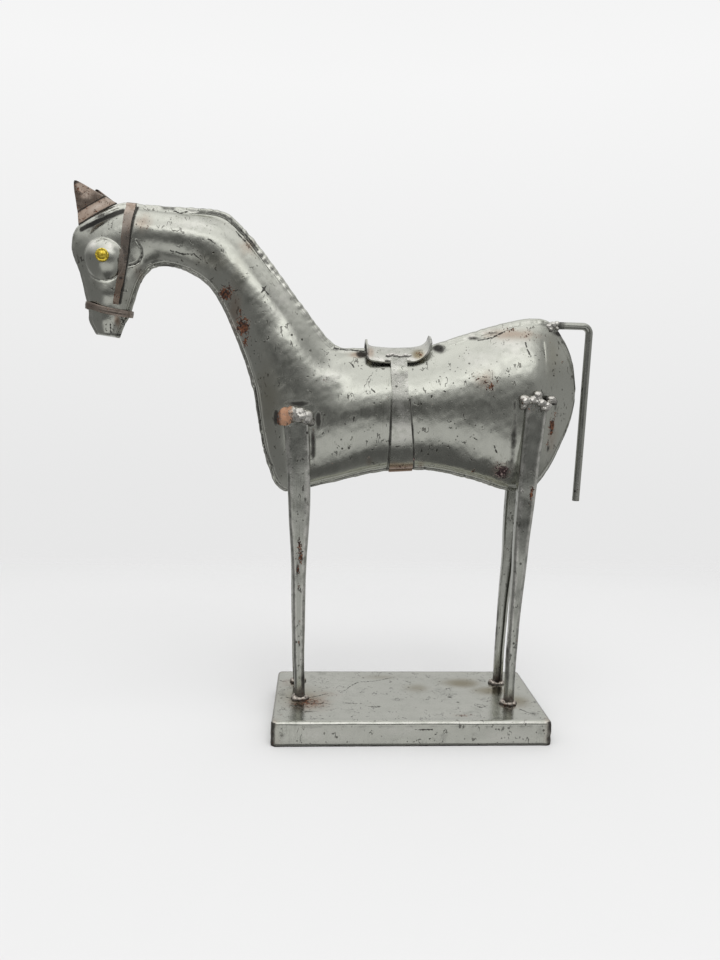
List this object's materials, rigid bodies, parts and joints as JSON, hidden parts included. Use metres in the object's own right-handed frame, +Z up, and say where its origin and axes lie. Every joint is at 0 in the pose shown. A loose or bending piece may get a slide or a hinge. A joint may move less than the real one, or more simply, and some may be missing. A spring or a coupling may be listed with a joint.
{
  "type": "scrap metal horse sculpture",
  "caption": "Standing horse welded from hammered scrap sheet steel, with saddle, girth, bridle and rod tail, on a hollow folded sheet plinth.",
  "frame": {"origin": "centre of the whole work's footprint box, on the surface that the plinth stands on", "axes": "+X from the head towards the tail, +Y towards the horse's right side, +Z up"},
  "size_m": [0.4465, 0.108, 0.4621],
  "materials": {
    "plinth_steel": "semi-gloss bare sheet steel, stained brown round the feet",
    "sheet_steel": "hammered bare sheet steel, satin, with scattered rust",
    "leg_steel": "folded bare sheet steel, satin, with rust streaks",
    "dark_steel": "darkened bare sheet steel with a brown patina",
    "weld_metal": "lumpy bare weld metal, bright and rusty in places",
    "brass": "polished, slightly worn"
  },
  "bodies": {
    "root": {"plinth": "plinth_steel", "body_left": "sheet_steel", "body_right": "sheet_steel", "ear_left": "dark_steel", "ear_right": "dark_steel", "eye_nail_left": "brass", "eye_nail_right": "brass", "headstall": "dark_steel", "noseband": "dark_steel", "saddle": "sheet_steel", "girth": "sheet_steel", "leg_front_left": "leg_steel", "leg_front_left_weld": "weld_metal", "leg_front_left_foot_weld": "weld_metal", "leg_front_right": "leg_steel", "leg_front_right_weld": "weld_metal", "leg_front_right_foot_weld": "weld_metal", "leg_rear_left": "leg_steel", "leg_rear_left_weld": "weld_metal", "leg_rear_left_foot_weld": "weld_metal", "leg_rear_right": "leg_steel", "leg_rear_right_weld": "weld_metal", "leg_rear_right_foot_weld": "weld_metal", "tail": "leg_steel", "tail_weld": "weld_metal"}
  },
  "joints": []
}
